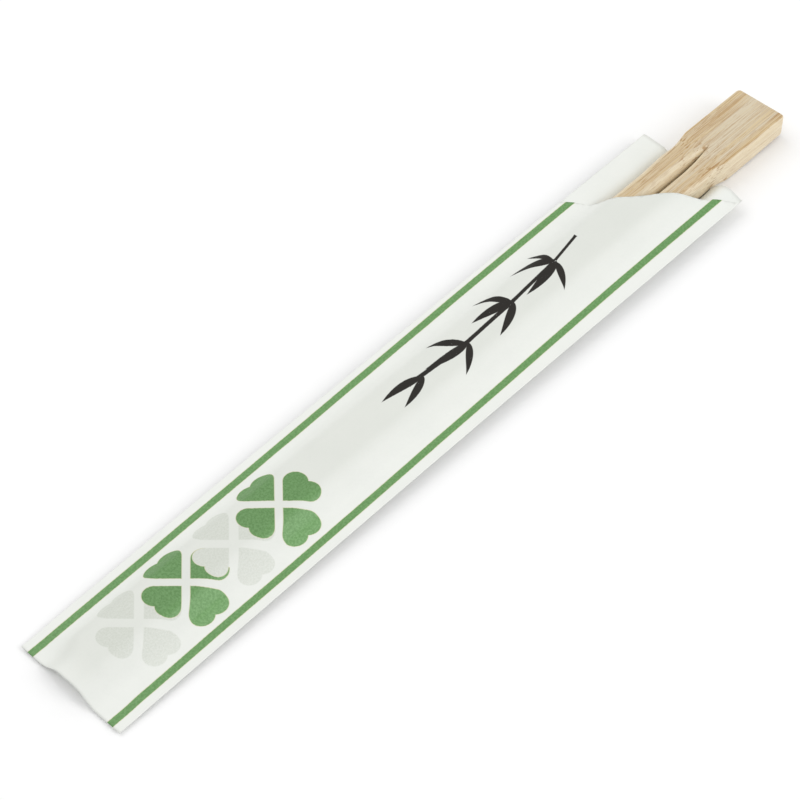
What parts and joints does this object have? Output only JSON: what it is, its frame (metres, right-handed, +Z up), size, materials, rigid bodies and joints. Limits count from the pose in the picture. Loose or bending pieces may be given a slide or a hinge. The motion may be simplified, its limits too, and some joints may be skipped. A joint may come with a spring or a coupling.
{
  "type": "bamboo chopsticks in a paper sleeve",
  "caption": "Unsplit pair of bamboo chopsticks, joined at a flat head, lying in a flat white paper sleeve with a slanted open mouth, green stripes and clover print.",
  "frame": {"origin": "middle of the underside of the whole object, on the surface it lies on", "axes": "+X along the sleeve towards the joined head, +Z up out of the printed front"},
  "size_m": [0.2186, 0.0296, 0.0069],
  "materials": {
    "bamboo": "sanded and left bare, fine lengthwise fibres",
    "paper": "matt white paper, printed"
  },
  "bodies": {
    "root": {"chopstick_pair": "bamboo", "paper_sleeve": "paper"}
  },
  "joints": []
}
